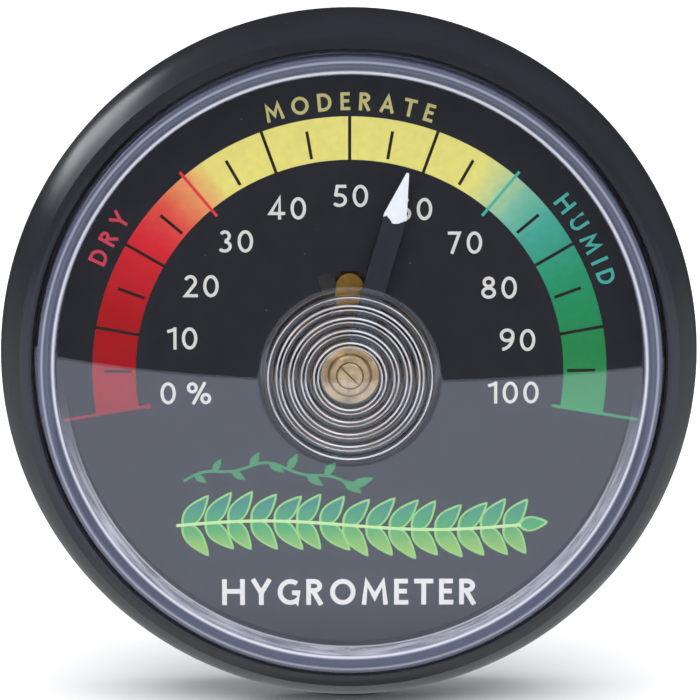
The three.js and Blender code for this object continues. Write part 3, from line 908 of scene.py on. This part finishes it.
def build_print():
    band = sector(BAND_IN, BAND_OUT, scale_angle(0), scale_angle(100), 160)
    printed("scale_band", [band], band_ink())
    ticks = []
    for step in range(1, 20):
        percent = step * 5
        if percent in (30, 70):
            continue
        radii = (BAND_IN + 0.4, BAND_OUT - 1.2) if percent % 10 else (BAND_IN - 0.1, BAND_OUT + 0.1)
        ticks.append(bar(*[clock(r, scale_angle(percent), PIVOT) for r in radii], TICK_WIDE))
    printed("scale_ticks", ticks, ink("tick_ink", (38, 30, 28)), 1)
    for name, percent, r0, r1, colour in (
        ("dry_limit_line", 30, 21.9, 28.0, (226, 52, 64)),
        ("humid_limit_line", 70, 21.9, 28.0, (72, 176, 158)),
        ("dry_end_line", 0, 21.8, 31.0, (146, 26, 38)),
        ("humid_end_line", 100, 21.9, 32.7, (50, 150, 92)),
    ):
        ends = [clock(r, scale_angle(percent), PIVOT) for r in (r0, r1)]
        shapes = [bar(*ends, LINE_WIDE)]
        if percent == 0:
            shapes.append(circle(LINE_WIDE, ends[0], 24)[::-1])
        printed(name, shapes, ink(name + "_ink", colour), 2)
    figures = []
    for percent in range(0, 101, 10):
        text = "0 %" if percent == 0 else str(percent)
        figures += straight(text, NUMERAL_CAP, NUMERAL_STROKE, NUMERAL_GAP, numeral_place(percent))
    printed("numerals", figures, ink("cream_ink", (217, 214, 207)), 1)
    for name, tracking, r, degrees, colour in (
        ("dry", 0.46, 29.35, -60.4, (204, 66, 84)),
        ("moderate", 0.5, 29.0, 0, (194, 184, 120)),
        ("humid", 0.5, 29.1, 60.4, (74, 172, 158)),
    ):
        shapes = curved(name.upper(), ZONE_CAP, ZONE_STROKE, tracking, r, degrees)
        printed("word_" + name, shapes, ink(name + "_ink", colour), 1)
    shapes = straight("HYGROMETER", 2.85, 0.18, 0.22, (0.0, -25.1))
    printed("word_hygrometer", shapes, ink("white_ink", (230, 226, 222)), 1)


# ---- the leaf ornament, under the pivot ----

LEAF_TOP, LEAF_BOTTOM = -14.6, -20.8


def leaf(base, degrees, long, wide, grow=0.0):
    """A pointed leaf from its base along a clock angle; grow pushes its whole edge outwards."""
    along = Vector(clock(1, degrees))
    side = Vector((along.y, -along.x))
    edge = []
    for sign in (1, -1):
        for k in range(13):
            t = k / 12 if sign > 0 else 1 - k / 12
            half = wide / 2 * sin(pi * t ** 0.8) * (1 - 0.25 * t)
            half += grow * sin(pi * t) ** 0.3
            reach = -grow * 1.6 * (1 - t) + (long + grow * 1.6) * t
            edge.append(Vector(base) + along * reach + side * half * sign)
    return edge[::-1]


def sprig_line(t):
    """The stem of the ornament, a shallow wave across the dial; t runs from 0 to 1."""
    return -18.6 + 37.0 * t, -17.75 + 0.5 * sin(2 * pi * t)


def vine_line(t):
    """The stem of the thin vine above the sprig."""
    return -17.8 + 18.0 * t, -12.9 + 1.7 * sin(1.1 * pi * t) + 0.35 * sin(5 * pi * t)


def stem_bars(line, count, wide):
    """Short bars that follow a line."""
    return [bar(line(k / count), line((k + 1) / count), wide) for k in range(count)]


def build_ornament():
    """A sprig of paired leaves with pale edges, and the vine above it."""
    fill, edge = [], []
    random.seed(5)
    count = 15
    for k in range(count):
        t = (k + 0.35) / count
        base = sprig_line(t)
        for side in (1, -1):
            lean = 90 - side * (50 + random.uniform(-5, 5))
            long = 3.75 + random.uniform(-0.3, 0.3)
            fill.append(leaf(base, lean, long, 1.75))
            edge.append(leaf(base, lean, long, 1.75, 0.2))
    tip = sprig_line(1)
    fill.append(leaf(tip, 84, 2.6, 1.4))
    edge.append(leaf(tip, 84, 2.6, 1.4, 0.22))
    printed("ornament_edge", edge, ink("leaf_edge_ink", (140, 200, 110)))
    printed("ornament_leaves", fill, leaf_ink(), 1)
    printed("ornament_stem", stem_bars(sprig_line, 24, 0.34), ink("stem_ink", (190, 222, 150)), 2)

    vine = stem_bars(vine_line, 30, 0.3)
    count = 9
    for k in range(count):
        t = (k + 0.6) / count
        side = 1 if k % 2 else -1
        vine.append(leaf(vine_line(t), 78 - side * 46, 1.5 + 0.9 * t, 0.8 + 0.3 * t))
    vine.append(leaf(vine_line(1), 70, 2.6, 1.1))
    printed("ornament_vine", vine, ink("vine_ink", (52, 138, 84)))


# ---- movement ----

READING_ANGLE = 15.9
LEVER_THICK, ARM_WIDE, ARM_END = 0.6, 1.7, 10.4
FLAG_HALF, FLAG_FOOT, FLAG_THICK = 1.45, 7.0, 0.5
COIL_R, COIL_PITCH, COIL_HALF = 9.4, 1.36, 0.15
POINTER_TIP, POINT_LONG, BLADE_HALF, EYE_R = 22.4, 4.8, 1.2, 2.5


def build_lever():
    """An eye round the post, an arm behind the coil, an upright outside it and the flag in front."""
    foot, middle = PIVOT_Y + FLAG_FOOT, (0, PIVOT_Y + LEVER_TOP - FLAG_HALF)
    round_end = [clock(FLAG_HALF, 90 - 7.5 * k, middle) for k in range(25)]
    top = LEVER_BACK + LEVER_THICK
    section = [(2.1, LEVER_BACK, 0.05), (3.6, LEVER_BACK, 0.08), (3.6, top, 0.08), (2.1, top, 0.05)]
    lever = turned("lever", section, PIVOT, segments=64)
    arm = radial_block("arm", ARM_WIDE, 3.0, ARM_END, LEVER_BACK, top, 0, PIVOT)
    rise = (LEVER_BACK, LEVER_FRONT - 0.02)
    upright = radial_block("upright", ARM_WIDE, ARM_END - 0.5, ARM_END, *rise, 0, PIVOT)
    outline = [(FLAG_HALF, foot), *round_end, (-FLAG_HALF, foot)]
    flag = slab("flag", [outline], LEVER_FRONT - FLAG_THICK, LEVER_FRONT)
    combine(lever, [arm, upright, flag], "UNION")
    gold = brass("lever_brass", (150, 112, 42), 0, 0.42)
    settle(lever, "regulator", "brass", gold, "calibration_lever")


def build_coil():
    """The strip closes in by one pitch each turn, clockwise from the rivet."""
    start, wound, count = -9, 1809, 330
    half, cut, low, high = COIL_HALF, COIL_HALF - 0.05, COIL_BACK + 0.08, COIL_FRONT - 0.08
    ring = [(-half, low), (-cut, COIL_BACK), (cut, COIL_BACK), (half, low)]
    ring += [(half, high), (cut, COIL_FRONT), (-cut, COIL_FRONT), (-half, high)]
    points = []
    for k in range(count + 1):
        a = start + wound * k / count
        r = COIL_R - COIL_PITCH * a / FULL_TURN
        points += [(*clock(r + off, a, PIVOT), z) for off, z in ring]
    n = len(ring)
    faces = [(i * n + k, (i + 1) * n + k, (i + 1) * n + (k + 1) % n, i * n + (k + 1) % n)
             for i in range(count) for k in range(n)]
    faces += [tuple(range(n)), tuple(reversed(range(count * n, count * n + n)))]
    strip = mesh_object("coil_strip", points, faces)
    settle(strip, "regulator", "coil_strip", coil_strip(), "humidity_coil")


def blade_outline():
    """The pointer's edge, drawn at 12 o'clock about the pivot: an eye and a strip with a long point."""
    foot = math.degrees(math.asin(BLADE_HALF / EYE_R))
    shoulder, end = POINTER_TIP - POINT_LONG, POINTER_TIP - 0.16
    edge = [(BLADE_HALF, shoulder), (0.12, end), (-0.12, end), (-BLADE_HALF, shoulder)]
    return edge + [clock(EYE_R, -foot - (FULL_TURN - 2 * foot) * k / 48) for k in range(49)]


def turned_to_reading(points):
    """Points drawn at 12 o'clock about the pivot, taken to where the pointer stands at rest."""
    a = radians(READING_ANGLE)
    return [(x * cos(a) + y * sin(a), PIVOT_Y - x * sin(a) + y * cos(a))
            for x, y in points]


def build_pointer():
    """The strip, and the paint on its tip with a ragged lower edge."""
    outline = turned_to_reading(blade_outline())
    hole = turned_to_reading(circle(1.6, count=48))
    blade = slab("pointer_blade", [outline], POINTER_BACK, POINTER_FRONT, [hole])
    bevel(blade, 0.03)
    settle(blade, "pointer_assembly", "pointer_black", black_paint(), "pointer")

    half, shoulder, paint_foot = BLADE_HALF + 0.025, POINTER_TIP - POINT_LONG, 17.05
    random.seed(11)
    ragged = []
    for k in range(15):
        t = k / 14
        dip = 0.28 * sin(2.4 * pi * t + 0.6) + random.uniform(-0.09, 0.09)
        ragged.append((-half + 2 * half * t, paint_foot + dip))
    point = [(0.14, POINTER_TIP - 0.06), (-0.14, POINTER_TIP - 0.06)]
    paint = [*ragged, (half, shoulder), *point, (-half, shoulder)]
    tip = slab("pointer_tip", [turned_to_reading(paint)], POINTER_BACK - 0.015, POINTER_FRONT + 0.02)
    bevel(tip, 0.015)
    settle(tip, "pointer_assembly", "pointer_black", white_paint())


def bevel(made, width_mm):
    """Rounds the sharp edges of a flat piece."""
    cut = made.modifiers.new("edges", "BEVEL")
    cut.width, cut.segments, cut.limit_method = width_mm * MM, 2, "ANGLE"
    cut.angle_limit = radians(40)
    apply_modifiers(made)


def build_hub():
    """The collar that turns with the pointer, the screw that stands still and the sleeve."""
    step = COLLAR_FRONT - 0.5
    section = [
        (1.6, COLLAR_BACK, 0.05), (COLLAR_R, COLLAR_BACK, 0.08), (COLLAR_R, COLLAR_BACK + 0.35, 0.12),
        (2.35, COLLAR_BACK + 0.35, 0.1), (2.2, COLLAR_FRONT - 0.15, 0.2), (2.0, COLLAR_FRONT, 0.12),
        (1.46, COLLAR_FRONT, 0.06), (1.46, step, 0), (1.6, step, 0),
    ]
    collar = turned("pointer_hub", section, PIVOT, segments=96)
    gold = brass("hub_brass", (214, 184, 138), 0.003, 0.42)
    settle(collar, "pointer_assembly", "brass", gold, "pointer_collar")

    section = [
        (0, 11.0, 0), (0.4, 11.0, 0.05), (0.4, 14.85, 0), (SCREW_R, 14.85, 0.05),
        (SCREW_R, SCREW_FRONT - 0.12, 0.1), (SCREW_R - 0.2, SCREW_FRONT, 0.1), (0, SCREW_FRONT, 0),
    ]
    cap = turned("cap_screw", section, PIVOT, segments=96)
    across = bar(clock(2, -45, PIVOT), clock(2, 135, PIVOT), 0.2)
    combine(cap, [slab("slot", [across], SCREW_FRONT - 0.15, SCREW_FRONT + 1)], "DIFFERENCE")
    # The last figure is the half width of the painted shade along the screw slot.
    gold = brass("cap_brass", (218, 190, 146), 0.002, 0.45, 0.07)
    settle(cap, "case", "brass", gold, "retaining_screw")

    section = [
        (0.9, 7.0, 0.05), (1.5, 7.0, 0.1), (1.5, 13.0, 0.1), (2.15, 13.4, 0.1), (2.15, 13.7, 0.05),
        (1.5, 13.7, 0), (1.5, 14.5, 0.06), (0.9, 14.5, 0.05),
    ]
    sleeve = turned("turning_sleeve", section, PIVOT, segments=72)
    settle(sleeve, "pointer_assembly", "brass", brass("sleeve_brass", (205, 160, 88)), "pointer_sleeve")


def dress_frame():
    """Materials for the CAD nodes that stay: the movement behind the dial."""
    for look, names in (
        (blackened(), ["movement_plate"]),
        (brass("movement_brass", (150, 116, 64), 0.003), ["pivot_post", "coil_rivet", "coil_collet"]),
        (steel(), [*[f"movement_screw_{i}" for i in (1, 2, 3)], "lever_spring_washer", "lever_retainer"]),
        (nylon(), ["rear_thrust_washer", "front_thrust_washer"]),
    ):
        for name in names:
            for place in frame["nodes"][name].material_slots:
                place.material = look


# ---- floor, lamps and camera ----

FLOOR_HALF = 5.0
VEIL_REAR, GREY_FRONT = -0.03, -0.018


def stage_sheet(name, outline, level, material):
    mesh = bpy.data.meshes.new(name)
    mesh.from_pydata([(x, y, level) for x, y in outline], [], [tuple(range(len(outline)))])
    mesh.materials.append(material)
    sheet = new_object(name, mesh)
    return sheet


def card(paint, outline, level, through_window):
    """A sheet that only reflections show, and that rays which have passed the window may meet."""
    sheet = stage_sheet(paint.material.name, outline, level, paint.material)
    sheet.visible_camera = sheet.visible_diffuse = sheet.visible_shadow = False
    sheet.visible_transmission = through_window


def glow(name, colour):
    """A black material that gives off light."""
    p = Paint(name, Roughness=0.9, Specular_IOR_Level=0.0)
    p.set(Base_Color=(0, 0, 0, 1), Emission_Color=colour)
    return p


def across_floor(y0, y1):
    return [(-FLOOR_HALF, y0), (FLOOR_HALF, y0), (FLOOR_HALF, y1), (-FLOOR_HALF, y1)]


def build_floor():
    """A pale floor, and three cards just above it. The dark one keeps the upper half of the window
    clear. The bluish one veils the lower half. The grey one is darkest straight behind, where the
    bezel would mirror the floor at a glancing angle."""
    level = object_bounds()[0][2] - 0.00002
    pale = Paint("floor_card", Roughness=0.9)
    pale.colour(pale.mix(pale.noise(60, 3), (0.88, 0.88, 0.88, 1), (0.9, 0.9, 0.9, 1)))
    stage_sheet("floor", across_floor(-FLOOR_HALF, FLOOR_HALF), level, pale.material)

    near, half, centre_x = -0.2085, 0.075, 0.008
    arch = [clock(half, 90 - 5.625 * k, (centre_x, near - half)) for k in range(33)]
    dark = Paint("dark_card", Roughness=0.9)
    dark.colour(dark.mix(dark.noise(40, 3), (0.02, 0.02, 0.024, 1), (0.03, 0.03, 0.034, 1)))
    card(dark, [*arch, (centre_x - 0.6, -1.6), (centre_x + 0.6, -1.6)], level + 0.0003, True)

    veil = glow("veil_card", (0.765, 0.825, 1.0, 1.0))
    veil.set(Emission_Strength=veil.span(veil.axis("Y"), -0.07, VEIL_REAR, 1.72, 1.0))
    card(veil, across_floor(-FLOOR_HALF, VEIL_REAR), level + 0.0001, True)

    grey = glow("grey_card", (0.9, 0.95, 1.0, 1.0))
    across = grey.math("ADD", grey.math("ABSOLUTE", grey.axis("X")), 0.03)
    aside = grey.math("ARCTAN2", across, grey.most(grey.axis("Y"), 0.002))
    grey.set(Emission_Strength=grey.span(aside, radians(30), radians(75), 0.06, 0.5))
    card(grey, across_floor(GREY_FRONT, FLOOR_HALF), level + 0.0002, False)


def build_light():
    """An even room and a broad sun for the diffuse light, a dimmer room in reflections that darkens
    straight behind the object, and one lamp at the upper left whose streak lies on the bezel."""
    world = bpy.data.worlds.new("studio")
    bpy.context.scene.world = world
    world.use_nodes = True
    room = Nodes(world.node_tree, "Generated")
    path = room.node("LightPath")
    fading = room.span(room.axis("Y"), 0.3, 0.95, 0.31, 0.04)
    seen = room.fill(room.nodes["Background"], Color=(0.94, 0.96, 1.0, 1), Strength=0.5)
    for ray, colour, strength in (
        ("Is Glossy Ray", (0.76, 0.87, 1.0, 1), fading),
        ("Is Transmission Ray", (0.9, 0.93, 1.0, 1), 0.9),
        ("Is Camera Ray", (1, 1, 1, 1), 1.0),
    ):
        other = room.node("Background", Color=colour, Strength=strength)
        seen = room.choose(path.outputs[ray], seen, other)
    room.fill(room.nodes["World Output"], Surface=seen.outputs[0])

    sky = bpy.data.lights.new("soft_sky", "SUN")
    sky.energy, sky.angle = 3.4, radians(80)
    overhead = new_object("soft_sky", sky)
    overhead.rotation_euler = (radians(20), 0, 0)
    overhead.visible_glossy = False

    panel = bpy.data.lights.new("streak", "AREA")
    panel.shape, panel.size, panel.size_y = "RECTANGLE", 0.2, 0.22
    panel.energy, panel.color = 0.5, (0.92, 0.96, 1.0)
    lamp = new_object("streak", panel)
    lamp.location = (-0.4, 0.35, 0.28)
    lamp.rotation_euler = (-lamp.location).to_track_quat("-Z", "Y").to_euler()
    lamp.visible_camera = False


def build_camera():
    """At the angle of the picture: about 10 degrees above the dial's axis."""
    azimuth, elevation, away = radians(-0.69), radians(10.05), 0.4
    towards = Vector((sin(azimuth) * cos(elevation), -cos(azimuth) * cos(elevation),
                      sin(elevation)))
    turn = (-towards).to_track_quat("-Z", "Y")
    right, up = turn @ Vector((1, 0, 0)), turn @ Vector((0, 1, 0))
    aim = Vector((0, -0.0089, 0)) + right * 0.00009 + up * 0.00054
    data = bpy.data.cameras.new("camera")
    data.sensor_width, data.lens = 36, 190.9
    data.clip_start, data.clip_end = 0.01, 50
    camera = new_object("camera", data)
    camera.location = aim + towards * away
    camera.rotation_euler = turn.to_euler()
    bpy.context.scene.camera = camera
    bpy.context.scene.view_settings.view_transform = "Standard"


build_case()
build_bezel()
build_pad()
build_window()
build_dial()
build_print()
build_ornament()
build_lever()
build_coil()
build_pointer()
build_hub()
dress_frame()
build_floor()
build_light()
build_camera()
